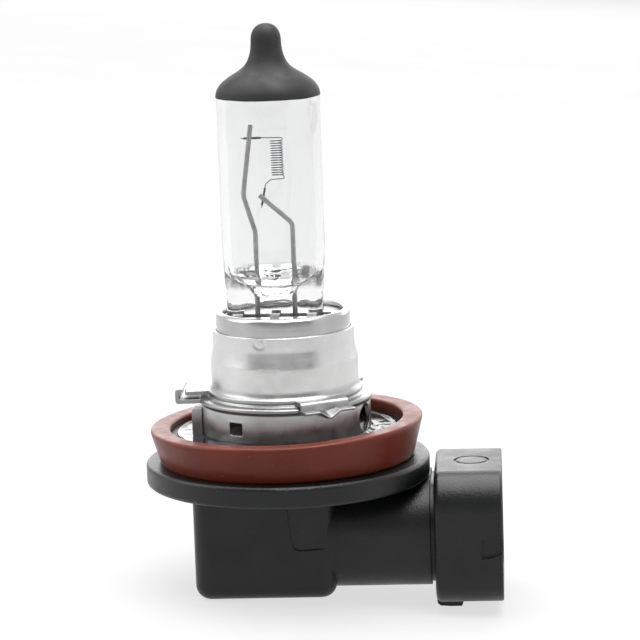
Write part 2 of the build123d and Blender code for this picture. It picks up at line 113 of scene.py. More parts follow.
def loft(loops, ring=False):
    """Vertices and faces through loops of equal length, with flat ends.

    ring joins the last loop to the first instead.
    """
    verts = [tuple(p) for loop in loops for p in loop]
    n = len(loops[0])
    last = len(loops) - 1
    faces = []
    for k in range(last + 1 if ring else last):
        a = k * n
        b = ((k + 1) % len(loops)) * n
        for i in range(n):
            j = (i + 1) % n
            faces.append((a + i, a + j, b + j, b + i))
    if not ring:
        faces.append(tuple(range(n)))
        faces.append(tuple(range(last * n, (last + 1) * n)))
    return verts, faces


def merge(*shells):
    verts, faces = [], []
    for v, f in shells:
        base = len(verts)
        verts += v
        faces += [tuple(i + base for i in face) for face in f]
    return verts, faces


def lathe(profile, segments, centre=0.0, warp=None, ring=False):
    """A profile of (radius, height) turned round the vertical axis at x = centre."""
    loops = []
    for r, z in profile:
        loop = []
        for i in range(segments):
            a = TAU * i / segments
            rr, zz = warp(r, z, a) if warp else (r, z)
            loop.append((centre + rr * math.cos(a), rr * math.sin(a), zz))
        loops.append(loop)
    return loft(loops, ring=ring)


def sweep(path, radius, sides, scales=None):
    """A round wire along a path of (x, y, z). scales makes it thicker or thinner, point by point."""
    points = [Vector(p) for p in path]
    loops = []
    side = None
    for k, p in enumerate(points):
        ahead = points[min(k + 1, len(points) - 1)] - points[max(k - 1, 0)]
        ahead.normalize()
        if side is None:
            side = ahead.orthogonal().normalized()
        side = (side - ahead * side.dot(ahead)).normalized()
        across = ahead.cross(side)
        scale = scales[k] if scales else 1.0
        loop = []
        for i in range(sides):
            a = TAU * i / sides
            offset = (side * math.cos(a) + across * math.sin(a)) * radius * scale
            loop.append(tuple(p + offset))
        loops.append(loop)
    return loft(loops)


def rounded_path(corners, radius, step):
    """A polyline with its inner corners rounded, and points no further apart than step."""
    pieces_per_bend = 8
    longest_share = 0.48
    pts = [Vector(c) for c in corners]
    out = [pts[0]]
    for i in range(1, len(pts) - 1):
        a, b, c = pts[i - 1], pts[i], pts[i + 1]
        u, v = (a - b).normalized(), (c - b).normalized()
        reach = radius * math.tan((math.pi - u.angle(v)) / 2)
        reach = min(reach, (a - b).length * longest_share, (c - b).length * longest_share)
        p, q = b + u * reach, b + v * reach
        for k in range(pieces_per_bend + 1):
            t = k / pieces_per_bend
            out.append(p * (1 - t) ** 2 + b * 2 * t * (1 - t) + q * t ** 2)
    out.append(pts[-1])
    fine = [out[0]]
    for p, q in zip(out, out[1:]):
        n = max(1, math.ceil((q - p).length / step))
        fine += [p.lerp(q, i / n) for i in range(1, n + 1)]
    return fine


def prism(outline, width, steps, angle, shift=None):
    """A closed (radius, height) outline swept sideways over width, at an angle round the axis."""
    c, s = math.cos(angle), math.sin(angle)
    loops = []
    for k in range(steps + 1):
        t = -width / 2 + width * k / steps
        loop = []
        for r, z in outline:
            rr, zz = shift(r, z, t) if shift else (r, z)
            loop.append((rr * c - t * s, rr * s + t * c, zz))
        loops.append(loop)
    return loft(loops)


def sector(outline, start, end, steps):
    """A closed (radius, height) outline swept round the axis from start to end, in degrees."""
    loops = []
    for k in range(steps + 1):
        a = math.radians(start + (end - start) * k / steps)
        loops.append([(r * math.cos(a), r * math.sin(a), z) for r, z in outline])
    return loft(loops)


def cut(obj, cutter):
    """Take the cutter's volume out of obj."""
    mod = obj.modifiers.new("cut", "BOOLEAN")
    mod.operation = "DIFFERENCE"
    mod.solver = "EXACT"
    mod.object = cutter
    deps = bpy.context.evaluated_depsgraph_get()
    mesh = bpy.data.meshes.new_from_object(obj.evaluated_get(deps))
    obj.modifiers.clear()
    obj.data = mesh
    bpy.data.objects.remove(cutter, do_unlink=True)


def adopt(obj, node, material):
    """Dress the piece, and let it ride on the lamp in place of the CAD node."""
    obj.data.materials.clear()
    obj.data.materials.append(material)
    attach(obj, "root")
    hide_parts(node)


# ---- materials ------------------------------------------------------------------------------

class Shader:
    """A Principled material with a few procedural layers on object coordinates."""

    def __init__(self, name, **sockets):
        self.material = bpy.data.materials.new(name)
        self.material.use_nodes = True
        self.tree = self.material.node_tree
        self.bsdf = self.tree.nodes["Principled BSDF"]
        self.coord = self.tree.nodes.new("ShaderNodeTexCoord")
        self.normal = None
        for key, value in sockets.items():
            self.bsdf.inputs[key.replace("_", " ")].default_value = value

    def link(self, a, b):
        self.tree.links.new(a, b)

    def place(self, axis):
        """The X, Y or Z object coordinate, in metres."""
        node = self.tree.nodes.new("ShaderNodeSeparateXYZ")
        self.link(self.coord.outputs["Object"], node.inputs[0])
        return node.outputs[axis]

    def noise(self, scale, detail, stretch=(1, 1, 1), roughness=0.55):
        mapping = self.tree.nodes.new("ShaderNodeMapping")
        mapping.inputs["Scale"].default_value = stretch
        self.link(self.coord.outputs["Object"], mapping.inputs["Vector"])
        tex = self.tree.nodes.new("ShaderNodeTexNoise")
        tex.inputs["Scale"].default_value = scale
        tex.inputs["Detail"].default_value = detail
        tex.inputs["Roughness"].default_value = roughness
        self.link(mapping.outputs["Vector"], tex.inputs["Vector"])
        return tex.outputs["Fac"]

    def ramp(self, source, stops):
        node = self.tree.nodes.new("ShaderNodeValToRGB")
        elements = node.color_ramp.elements
        while len(elements) < len(stops):
            elements.new(0.5)
        for element, (place, colour) in zip(elements, stops):
            element.position = place
            element.color = (*colour, 1)
        self.link(source, node.inputs["Fac"])
        return node.outputs["Color"]

    def two_tone(self, source, dark, light, low=0.30, high=0.70):
        """dark up to low, light from high on."""
        return self.ramp(source, [(low, dark), (high, light)])

    def spread(self, source, low, high, out_low, out_high):
        """source mapped from low-to-high onto out_low-to-out_high, and held there beyond them."""
        node = self.tree.nodes.new("ShaderNodeMapRange")
        node.inputs["From Min"].default_value = low
        node.inputs["From Max"].default_value = high
        node.inputs["To Min"].default_value = out_low
        node.inputs["To Max"].default_value = out_high
        self.link(source, node.inputs["Value"])
        return node.outputs["Result"]

    def over(self, mask, below, above):
        """The colour above laid over the layer below where mask is 1."""
        node = self.tree.nodes.new("ShaderNodeMix")
        node.data_type = "RGBA"
        factor, bottom, top = node.inputs["Factor"], node.inputs[6], node.inputs[7]
        self.link(mask, factor)
        self.link(below, bottom)
        top.default_value = (*above, 1)
        return node.outputs[2]

    def times(self, a, b):
        node = self.tree.nodes.new("ShaderNodeMath")
        node.operation = "MULTIPLY"
        self.link(a, node.inputs[0])
        self.link(b, node.inputs[1])
        return node.outputs[0]

    def off_centre(self, x, centre):
        """Distance of a coordinate from centre."""
        node = self.tree.nodes.new("ShaderNodeMath")
        node.operation = "SUBTRACT"
        self.link(x, node.inputs[0])
        node.inputs[1].default_value = centre * MM
        size = self.tree.nodes.new("ShaderNodeMath")
        size.operation = "ABSOLUTE"
        self.link(node.outputs[0], size.inputs[0])
        return size.outputs[0]

    def bevel(self, radius):
        node = self.tree.nodes.new("ShaderNodeBevel")
        node.samples = 4
        node.inputs["Radius"].default_value = radius * MM
        return node.outputs["Normal"]

    def edges(self, radius):
        """1 on corners and rims, 0 on open faces."""
        flat_dot, corner_dot = 0.99, 0.82
        geometry = self.tree.nodes.new("ShaderNodeNewGeometry")
        dot = self.tree.nodes.new("ShaderNodeVectorMath")
        dot.operation = "DOT_PRODUCT"
        self.link(self.bevel(radius), dot.inputs[0])
        self.link(geometry.outputs["Normal"], dot.inputs[1])
        return self.spread(dot.outputs["Value"], flat_dot, corner_dot, 0.0, 1.0)

    def round_off(self, radius):
        self.normal = self.bevel(radius)

    def bump(self, height, strength, depth):
        node = self.tree.nodes.new("ShaderNodeBump")
        node.inputs["Strength"].default_value = strength
        node.inputs["Distance"].default_value = depth * MM
        self.link(height, node.inputs["Height"])
        if self.normal is not None:
            self.link(self.normal, node.inputs["Normal"])
        self.normal = node.outputs["Normal"]

    def done(self, colour, roughness=None):
        self.link(colour, self.bsdf.inputs["Base Color"])
        if roughness is not None:
            self.link(roughness, self.bsdf.inputs["Roughness"])
        if self.normal is not None:
            self.link(self.normal, self.bsdf.inputs["Normal"])
        return self.material


def grey(value, blue=0.0):
    return (value, value, value + blue)


# Stretch of a noise texture that draws it out into lines round the axis, or along it.
FINE_LINES, BROAD_LINES = (0.02, 0.02, 1.0), (0.04, 0.04, 1.0)
DRAWN = (1, 1, 0.15)
EVEN = (1, 1, 1)


def steel(name, dark, light, rough_low, rough_high, blotch, lines=0.12, painted_shade=None):
    """Drawn sheet steel: lines round the axis, slight haze and small stains.

    The last argument, if given, is (height where it begins, height where it is full, colour) of painted
    shade that darkens the steel.
    """
    s = Shader(name, Metallic=1.0)
    haze = s.noise(scale=260, detail=5)
    colour = s.two_tone(haze, dark, light, high=0.72)
    stain = s.spread(s.noise(scale=620, detail=6, roughness=0.7), 0.62, 0.78, 0.0, blotch)
    colour = s.over(stain, colour, tuple(c * 0.6 for c in dark))
    # Painted shade: past the given height the steel is darkened, a little unevenly, towards the given
    # colour.
    if painted_shade is not None:
        begins, full, dark_grey = painted_shade
        shade_zone = s.spread(s.place("Z"), begins * MM, full * MM, 0.0, 1.0)
        shade_zone = s.times(shade_zone, s.spread(haze, 0.35, 0.65, 0.75, 1.0))
        colour = s.over(shade_zone, colour, dark_grey)
    s.round_off(0.08)
    s.bump(s.noise(scale=9000, detail=3, stretch=FINE_LINES), strength=lines, depth=0.02)
    s.bump(s.noise(scale=2600, detail=2, stretch=BROAD_LINES), strength=lines * 0.5, depth=0.04)
    s.bump(s.noise(scale=500, detail=2), strength=0.035, depth=0.06)
    return s.done(colour, s.spread(s.noise(scale=900, detail=4), 0.35, 0.70, rough_low, rough_high))


def plastic(name, dark, light, rough_low, rough_high, scuff_and_highlight, grain=0.2, wear_and_highlight=0.35, **sockets):
    """Moulded plastic: fine grain, cloudy sheen, corners lightened in patches as wear and as a painted
    edge highlight, and a little dust.
    """
    s = Shader(name, **sockets)
    colour = s.two_tone(s.noise(scale=180, detail=5), dark, light, low=0.32)
    # Lighter corners: edge wear, and a painted highlight along the edges.
    rubbed_and_highlit = s.spread(s.noise(scale=1500, detail=4), 0.42, 0.66, 0.0, wear_and_highlight)
    colour = s.over(s.times(s.edges(0.16), rubbed_and_highlit), colour, scuff_and_highlight)
    dust = s.spread(s.noise(scale=5200, detail=2), 0.735, 0.80, 0.0, 0.55)
    colour = s.over(dust, colour, scuff_and_highlight)
    s.round_off(0.14)
    s.bump(s.noise(scale=4600, detail=3), strength=grain, depth=0.04)
    s.bump(s.noise(scale=420, detail=3), strength=0.12, depth=0.12)
    return s.done(colour, s.spread(s.noise(scale=300, detail=4), 0.34, 0.68, rough_low, rough_high))


def mottled(name, tint, sheen, relief=None, **sockets):
    """A plain substance with cloudy colour, uneven sheen and, if relief is given, a fine bump.

    tint is (noise scale, detail, dark, light), sheen is (scale, detail, low, high roughness) and
    relief is (scale, detail, stretch, strength, depth).
    """
    s = Shader(name, **sockets)
    if relief is not None:
        scale, detail, stretch, strength, depth = relief
        s.bump(s.noise(scale, detail, stretch), strength, depth)
    scale, detail, dark, light = tint
    colour = s.two_tone(s.noise(scale, detail), dark, light)
    scale, detail, rough_low, rough_high = sheen
    return s.done(colour, s.spread(s.noise(scale, detail), 0.3, 0.7, rough_low, rough_high))


def glass_with_painted_reflection():
    """Clear glass with a painted reflection: a dark, streaky band over the meniscus where the floor
    meets the tube, darker towards the sides.
    """
    ring_low, ring_high = 11.5 * MM, 13.8 * MM
    ring_centre_x = -0.7
    thin_inside, full_outside = 2.0 * MM, 3.4 * MM
    s = Shader("clear_glass", Roughness=0.0, IOR=1.46, Transmission_Weight=1.0)
    tint = s.two_tone(s.noise(scale=120, detail=2), (0.895, 0.898, 0.898), (0.925, 0.927, 0.927))
    ring = s.ramp(
        s.spread(s.place("Z"), ring_low, ring_high, 0.0, 1.0),
        [(0.0, grey(0)), (0.20, grey(0.8)), (0.50, grey(1)), (0.70, grey(1)), (0.86, grey(0))],
    )
    streaks = s.spread(s.noise(scale=1400, detail=5, stretch=(1.0, 1.0, 0.4)), 0.40, 0.58, 0.25, 1.0)
    sides = s.spread(s.off_centre(s.place("X"), ring_centre_x), thin_inside, full_outside, 0.2, 1.0)
    # Painted reflection: a dark band laid into the colour and the transmission, streaky and darker away
    # from the capsule's middle.
    dark_reflection = s.times(s.times(ring, streaks), sides)
    s.link(s.spread(dark_reflection, 0.0, 1.0, 1.0, 0.30), s.bsdf.inputs["Transmission Weight"])
    s.bump(s.noise(scale=160, detail=2), strength=0.05, depth=0.2)
    smears = s.spread(s.noise(scale=2200, detail=5, roughness=0.8), 0.66, 0.80, 0.0, 0.16)
    return s.done(s.over(dark_reflection, tint, grey(0.09, 0.002)), smears)


def black_paint():
    s = Shader("cap_paint", Metallic=0.0, Specular_IOR_Level=0.32)
    colour = s.two_tone(s.noise(scale=320, detail=5), grey(0.015, 0.001), grey(0.026, 0.001), high=0.72)
    specks = s.spread(s.noise(scale=4200, detail=2), 0.70, 0.78, 0.0, 0.5)
    colour = s.over(specks, colour, grey(0.13))
    s.bump(s.noise(scale=3200, detail=4), strength=0.22, depth=0.04)
    s.bump(s.noise(scale=500, detail=2), strength=0.15, depth=0.1)
    return s.done(colour, s.spread(s.noise(scale=800, detail=4), 0.35, 0.68, 0.55, 0.70))


def red_rubber():
    s = Shader("seal_rubber", Specular_IOR_Level=0.22)
    dark, light = (0.092, 0.014, 0.0070), (0.130, 0.022, 0.0105)
    colour = s.two_tone(s.noise(scale=260, detail=5), dark, light, low=0.28, high=0.72)
    dust = s.spread(s.noise(scale=5600, detail=2), 0.72, 0.78, 0.0, 0.6)
    colour = s.over(dust, colour, (0.42, 0.30, 0.26))
    s.round_off(0.12)
    s.bump(s.noise(scale=2600, detail=4), strength=0.16, depth=0.04)
    s.bump(s.noise(scale=260, detail=2, stretch=(1, 1, 3)), strength=0.20, depth=0.25)
    return s.done(colour, s.spread(s.noise(scale=500, detail=4), 0.33, 0.68, 0.30, 0.44))


glass_mat = glass_with_painted_reflection()
cap_mat = black_paint()
filament_mat = mottled(
    "tungsten", (1800, 4, grey(0.16, 0.005), grey(0.27, 0.005)), (5000, 3, 0.35, 0.55), Metallic=1.0,
)
lead_mat = mottled(
    "lead_metal", (900, 5, grey(0.30, 0.005), grey(0.47, 0.005)), (1600, 3, 0.36, 0.52),
    relief=(6000, 4, DRAWN, 0.25, 0.03), Metallic=1.0,
)
crimp_mat = mottled(
    "crimp_metal", (1500, 4, grey(0.045, 0.002), grey(0.10, 0.002)), (3000, 3, 0.35, 0.5),
    relief=(7000, 3, EVEN, 0.3, 0.03), Metallic=1.0,
)
ring_mat = steel("burner_ring_steel", grey(0.43), grey(0.51), 0.20, 0.28, blotch=0.25)
# The sleeve's foot, below 2.1 mm, is darkened with painted shade.
sleeve_mat = steel(
    "sleeve_steel", grey(0.60, -0.002), grey(0.69, -0.002), 0.28, 0.40, blotch=0.3, lines=0.26,
    painted_shade=(2.1, 1.4, grey(0.36)),
)
# The base ring's rim and lugs, from -0.3 mm up, are darkened with painted shade.
base_mat = steel(
    "base_ring_steel", (0.405, 0.42, 0.42), (0.50, 0.52, 0.52), 0.27, 0.37, blotch=0.25,
    painted_shade=(-0.3, 0.1, grey(0.30)),
)
clip_mat = steel("clip_steel", grey(0.72), grey(0.82), 0.30, 0.45, blotch=0.15)
terminal_mat = steel(
    "terminal_metal", (0.60, 0.58, 0.53), (0.72, 0.70, 0.66), 0.24, 0.38, blotch=0.3,
)
insulator_mat = plastic(
    "insulator", (0.42, 0.40, 0.35), (0.52, 0.50, 0.44), 0.5, 0.65,
    scuff_and_highlight=(0.6, 0.58, 0.53), Specular_IOR_Level=0.4,
)
housing_mat = plastic(
    "housing_plastic", (0.0016, 0.0024, 0.0018), (0.0040, 0.0052, 0.0044), 0.30, 0.42,
    scuff_and_highlight=(0.06, 0.062, 0.06), grain=0.8, wear_and_highlight=0.45, Specular_IOR_Level=0.37,
)
potting_mat = mottled(
    "sealant", (400, 4, grey(0.006, 0.001), grey(0.014, 0.001)), (900, 3, 0.06, 0.16),
    relief=(700, 3, EVEN, 0.12, 0.2), Specular_IOR_Level=0.45,
)
rubber_mat = red_rubber()


# ---- glass capsule --------------------------------------------------------------------------

CAPSULE_X = -0.70
LONG_LEAD_X, SHORT_LEAD_X = -2.52, 1.33
LEADS_X = (LONG_LEAD_X, SHORT_LEAD_X)
SLAB_HALF_X, SLAB_HALF_Y = 4.95, 1.60
SLAB_SQUARENESS = 7
TUBE_R = 5.30
PINCH_BOTTOM, PINCH_BEVEL = 4.6, 0.12
SLAB_TOP = 14.2


def tube_radius(z):
    """Outer radius of the tube and its fused floor, below the shoulder."""
    shape = [
        (10.90, 0.0), (10.92, 2.30), (11.25, 2.62), (11.75, 2.95), (12.20, 3.45), (12.50, 4.10),
        (12.78, 4.62), (13.15, 4.96), (13.70, 5.17), (14.60, 5.27), (15.60, TUBE_R),
    ]
    if z <= shape[0][0]:
        return 0.0
    for (z0, r0), (z1, r1) in zip(shape, shape[1:]):
        if z <= z1:
            return r0 + (r1 - r0) * (z - z0) / (z1 - z0)
    return TUBE_R


def slab_radius(a, z):
    """Distance from the capsule's axis to the side of the pinch, a rounded rectangle."""
    grow = 1.0 + 0.02 * smooth_step(11.0, 13.0, z)
    cx = abs(math.cos(a)) / (SLAB_HALF_X * grow)
    cy = abs(math.sin(a)) / SLAB_HALF_Y
    return (cx ** SLAB_SQUARENESS + cy ** SLAB_SQUARENESS) ** (-1 / SLAB_SQUARENESS)


def pinch_marks(x, z):
    """Relief pressed into the flat faces of the pinch by the sealing jaws."""
    pad_x, pad_z = abs(x) - 4.1, z - 10.1
    pads = 0.13 * blob(math.hypot(pad_x / 0.55, pad_z / 1.5), 0.62)
    pads -= 0.10 * blob(math.hypot(pad_x / 0.30, pad_z / 1.1), 0.50)
    wave = z - 9.95 - 0.06 * math.sin(2.1 * x)
    line = -0.025 * blob(wave, 0.11) * smooth_step(3.6, 2.6, abs(x - 0.4))
    swell = 0.02 * sum(blob(x + CAPSULE_X - lx, 0.5) for lx in LEADS_X)
    return pads + line + swell * smooth_step(11.5, 10.5, z)


def shoulder_profile(grow):
    """The tube's shoulder, neck and nipple, with the small swelling below the tip."""
    pts = [
        (5.28, 31.5), (5.23, 31.80), (5.14, 32.05), (4.99, 32.32), (4.76, 32.62), (4.46, 32.90),
        (4.09, 33.16), (3.68, 33.44), (3.16, 33.74), (2.70, 34.04), (2.34, 34.34), (2.08, 34.66),
        (1.88, 35.02), (1.72, 35.42), (1.60, 35.85), (1.53, 36.30), (1.50, 36.75), (1.49, 37.15),
        (1.44, 37.50), (1.33, 37.84), (1.15, 38.15), (0.90, 38.40), (0.60, 38.56), (0.30, 38.64),
        (0.02, 38.66),
    ]
    smallest_r = 0.005
    out = []
    for i, (r, z) in enumerate(pts):
        r0, z0 = pts[max(i - 1, 0)]
        r1, z1 = pts[min(i + 1, len(pts) - 1)]
        tr, tz = r1 - r0, z1 - z0
        n = math.hypot(tr, tz)
        out.append((max(smallest_r, r + grow * tz / n), z - grow * tr / n))
    return out


def melt(x, y, z):
    """Uneven surface of the fused floor."""
    return 0.09 * rough(x, y, z, 1.0) + 0.04 * rough(x, y, z * 2, 0.45)


def capsule_loops():
    segments = 320
    paint_clearance = 0.012
    loops = []
    heights = [PINCH_BOTTOM, 4.7, 5.5, 6.5, 7.5, 8.3]
    heights += [8.5 + 0.12 * i for i in range(60)]
    heights += [15.8, 17, 19, 21, 23, 25, 27, 29, 30.4]
    for z in heights:
        loop = []
        tube = tube_radius(z)
        fuse = 0.10 * smooth_step(10.8, 11.4, z)
        melted = smooth_step(SLAB_TOP, 13.2, z) * smooth_step(10.7, 11.3, z)
        for i in range(segments):
            a = TAU * i / segments
            slab = slab_radius(a, z) if z < SLAB_TOP else 0.0
            if z == PINCH_BOTTOM:
                slab -= PINCH_BEVEL
            gap = slab - tube
            r = max(slab, tube)
            if fuse and abs(gap) < fuse:
                r += (fuse - abs(gap)) ** 2 / (4 * fuse)
            r = min(r + melted * melt(r * math.cos(a), r * math.sin(a), z), TUBE_R)
            x, y = r * math.cos(a), r * math.sin(a)
            if slab > tube and abs(y) > SLAB_HALF_Y * 0.9:
                y += math.copysign(pinch_marks(x, z), y) * smooth_step(6.0, 7.0, z)
            loop.append((CAPSULE_X + x, y, z))
        loops.append(loop)
    for r, z in shoulder_profile(-paint_clearance):
        loops.append([
            (CAPSULE_X + r * math.cos(TAU * i / segments), r * math.sin(TAU * i / segments), z)
            for i in range(segments)
        ])
    return loops


def cavity_warp(r, z, a):
    """The hollow's floor: glass drawn up the two leads, waves, and streaks near the wall."""
    x, y = CAPSULE_X + r * math.cos(a), r * math.sin(a)
    if z < 14.5:
        for lx in LEADS_X:
            z += 0.30 * blob(math.hypot(x - lx, y), 0.42)
        z += 0.08 * rough(x, y, 3.0, 1.5) * smooth_step(4.3, 3.6, r)
        streak = 0.5 + 0.5 * rough(4 * math.cos(a), 4 * math.sin(a), 0.7, 0.9)
        z += 0.16 * streak * smooth_step(2.3, 3.2, r) * smooth_step(4.4, 4.0, r)
        r += 0.10 * rough(x, y, z * 2, 0.8) * smooth_step(14.4, 13.4, z) * smooth_step(2.0, 3.0, r)
    return r, z


def face_into_hollow(obj, first_inner):
    """Turn the hollow's faces, from first_inner on, towards the capsule's axis."""
    mid_height = 23 * MM
    bm = bmesh.new()
    bm.from_mesh(obj.data)
    bm.faces.ensure_lookup_table()
    inner = [f for f in bm.faces if f.index >= first_inner]
    probe = min(inner, key=lambda f: abs(f.calc_center_median().z - mid_height))
    middle = probe.calc_center_median()
    if probe.normal.dot(Vector((CAPSULE_X * MM, 0, middle.z)) - middle) < 0:
        bmesh.ops.reverse_faces(bm, faces=inner)
    bm.to_mesh(obj.data)
    bm.free()


cavity_profile = refine([(0.01, 12.20), (1.2, 12.19), (2.4, 12.16)], 0.16)
cavity_profile += [
    (2.9, 12.17), (3.3, 12.27), (3.62, 12.46), (3.88, 12.75), (4.08, 13.12), (4.20, 13.6),
    (4.29, 14.2), (4.33, 14.8), (4.35, 15.5), (4.35, 20), (4.35, 26), (4.35, 31.0), (4.30, 31.7),
    (4.12, 32.15), (3.75, 32.50), (3.2, 32.82), (2.5, 33.22), (1.8, 33.7), (1.2, 34.1),
    (0.8, 34.5), (0.6, 35.0), (0.5, 35.5), (0.3, 35.85), (0.02, 35.95),
]
capsule_shell = loft(capsule_loops())
cavity_shell = lathe(cavity_profile, segments=160, centre=CAPSULE_X, warp=cavity_warp)
outer_count = len(capsule_shell[1])
glass = make_object("glass_capsule", *merge(capsule_shell, cavity_shell), smooth_angle=34)
face_into_hollow(glass, outer_count)
adopt(glass, "glass_envelope", glass_mat)

# ---- blackout paint -------------------------------------------------------------------------

PAINT_EDGE_Z = 31.30
PAINT_EDGE_R = 5.302


def paint_warp(r, z, a):
    """The paint's lower edge wanders a little."""
    if z < 31.7:
        x, y = math.cos(a), math.sin(a)
        wander = 0.05 * rough(x, y, 0.2, 0.35) + 0.035 * math.sin(2 * a + 0.8)
        z += wander * smooth_step(31.8, 31.4, z)
    return r, z


paint_outer = [(PAINT_EDGE_R, PAINT_EDGE_Z), (5.335, 31.32), (5.352, 31.37)] + shoulder_profile(0.055)
paint_inner = [(PAINT_EDGE_R, PAINT_EDGE_Z)] + shoulder_profile(0.004)
paint_profile = paint_outer + paint_inner[::-1][:-1]
cap_shell = lathe(paint_profile, segments=192, centre=CAPSULE_X, warp=paint_warp, ring=True)
cap = make_object("blackout_paint", *cap_shell, smooth_angle=50)
adopt(cap, "blackout_cap", cap_mat)

# ---- filament, crimps and leads -------------------------------------------------------------

FILAMENT_Z = 25.0
COIL_R, COIL_WIRE_R, TURNS, PITCH = 0.615, 0.05, 15, 0.25
STEPS_PER_TURN = 28
COIL_LEAN = 0.05
LEG_Y = 0.34
CRIMP_R, LEAD_R = 0.122, 0.25

coil_low = FILAMENT_Z - TURNS * PITCH / 2
coil_high = FILAMENT_Z + TURNS * PITCH / 2
coil_steps = TURNS * STEPS_PER_TURN
coil = []
for i in range(coil_steps + 1):
    a = TAU * i / STEPS_PER_TURN
    lean = COIL_LEAN * (i / coil_steps - 0.5)
    coil.append((
        COIL_R * math.cos(a) - lean, COIL_R * math.sin(a), coil_low + PITCH * i / STEPS_PER_TURN))
lower_leg = rounded_path(
    [coil[0], (0.66, -0.10, coil_low - 0.26), (-0.72, LEG_Y, 22.74), (-1.30, LEG_Y, 22.30),
     (-1.37, LEG_Y, 21.90), (-1.80, LEG_Y, 19.86)], radius=0.55, step=0.06)
upper_leg = rounded_path(
    [coil[-1], (0.60, 0.14, coil_high + 0.15), (0.30, LEG_Y, coil_high + 0.17),
     (-1.6, LEG_Y, coil_high + 0.20), (-3.72, LEG_Y, coil_high + 0.16)], radius=0.15, step=0.08)
wires = [sweep(path, COIL_WIRE_R, sides=8) for path in (coil, lower_leg, upper_leg)]
filament = make_object("filament_coil", *merge(*wires), smooth_angle=60)
adopt(filament, "filament", filament_mat)


def crimp_tube(name, a, b, node):
    """A small tube with closed ends, pinched on to the filament's leg."""
    stretches = 14
    shares = [t / stretches for t in range(stretches + 1)]
    path = [Vector(a).lerp(Vector(b), share) for share in shares]
    dents = [
        1.0 + 0.05 * math.sin(5.1 * t) - 0.14 * blob(share - 0.30, 0.10)
        for t, share in enumerate(shares)
    ]
    dents[0] = dents[-1] = 0.82
    tube = make_object(name, *sweep(path, CRIMP_R, sides=12, scales=dents), smooth_angle=50)
    adopt(tube, node, crimp_mat)


crimp_tube("crimp_upper", (-3.42, LEG_Y, coil_high + 0.17), (-1.62, LEG_Y, coil_high + 0.19),
           "upper_crimp_sleeve")
crimp_tube("crimp_lower", (-1.37, LEG_Y, 21.90), (-1.75, LEG_Y, 20.10), "lower_crimp_sleeve")


def lead_wire(name, corners, bend, node):
    """A bent support lead, slightly uneven, with a swelling where it leaves the glass floor."""
    floor_z = 12.35
    path = rounded_path(corners, bend, step=0.16)
    scales = [
        1.0 + 0.025 * rough(p.x, p.z, 0.4, 1.3) + 0.05 * blob(p.z - floor_z, 0.25) for p in path
    ]
    scales[-1] = 0.86
    wire = make_object(name, *sweep(path, LEAD_R, sides=18, scales=scales), smooth_angle=50)
    adopt(wire, node, lead_mat)


lead_wire(
    "lead_long",
    [(LONG_LEAD_X, 0, 1.6), (LONG_LEAD_X, 0, 17.45), (-3.63, 0, 21.20), (-2.60, 0, 28.50)],
    bend=2.2, node="long_support_lead")
lead_wire(
    "lead_short", [(SHORT_LEAD_X, 0, 1.6), (SHORT_LEAD_X, 0, 18.25), (-1.95, 0, 21.20)],
    bend=1.0, node="short_support_lead")

# ---- burner ring ----------------------------------------------------------------------------


def ring_warp(r, z, a):
    return r + 0.012 * rough(math.cos(a), math.sin(a), z * 0.1, 0.5), z


ring_profile = refine([(6.92, 3.2), (6.92, 7.9)], 0.4) + [(6.915, 8.15), (6.90, 8.4)]
ring_profile += arc(6.38, 8.82, radius=0.52, start=8, end=96, steps=12)
ring_profile += [
    (6.24, 9.27), (6.20, 9.14), (6.22, 8.98), (6.32, 8.90), (6.46, 8.96), (6.58, 8.90),
    (6.62, 8.6), (6.62, 5.5), (6.62, 3.2),
]
burner_shell = lathe(ring_profile, segments=256, warp=ring_warp, ring=True)
burner = make_object("burner_ring_shell", *burner_shell, smooth_angle=38)
adopt(burner, "burner_ring", ring_mat)

# ---- focus sleeve ---------------------------------------------------------------------------

SLEEVE_INNER_R, SLEEVE_OUTER_R = 7.0, 7.3
WELDS_AT = [math.radians(d) for d in (-105.5, 14.5, 134.5)]
WELD_Z = 6.98
SEAM_AT = math.radians(-7.0)
CREASE_AT = math.radians(-98)


def sleeve_warp(r, z, a):
    """Weld marks, slight waves, the seam, and the pressed crease low on the front."""
    if r < SLEEVE_INNER_R:
        return r, z
    for weld in WELDS_AT:
        d = math.hypot(angle_gap(a, weld) * SLEEVE_OUTER_R, z - WELD_Z)
        r -= 0.085 * blob(d - 0.50, 0.15) * smooth_step(7.5, 7.3, z)
        r -= 0.030 * blob(d, 0.30)
    r += 0.020 * rough(2 * math.cos(a), 2 * math.sin(a), z * 0.5, 0.8)
    r -= 0.05 * blob(angle_gap(a, SEAM_AT) * 7.4, 0.10) * smooth_step(1.6, 2.2, z)
    across = smooth_step(1.3, 0.7, abs(angle_gap(a, CREASE_AT) * 7.5))
    r += 0.030 * blob(z - 4.42, 0.07) * across
    r -= 0.035 * blob(z - 4.28, 0.07) * across
    return r, z


sleeve_profile = refine([(7.24, 7.49), (7.28, 7.44), (7.28, 6.10)], 0.09)
sleeve_profile += refine(
    [(7.29, 5.92), (7.34, 5.60), (7.44, 5.05), (7.54, 4.60), (7.59, 4.40), (7.605, 4.25)], 0.09)
sleeve_profile += refine([(7.605, 4.1), (7.60, 2.0)], 0.16)
sleeve_profile += [
    (7.605, 1.85), (7.63, 1.68), (7.68, 1.52), (7.76, 1.38), (7.86, 1.28), (7.95, 1.23),
    (7.99, 1.16), (8.00, 1.05), (7.98, 0.90), (7.93, 0.80), (6.60, 0.80), (6.60, 1.15),
    (6.96, 1.25), (6.97, 2.0), (6.97, 6.9), (6.97, 7.44), (7.02, 7.49),
]
sleeve = lathe(sleeve_profile, segments=360, warp=sleeve_warp, ring=True)

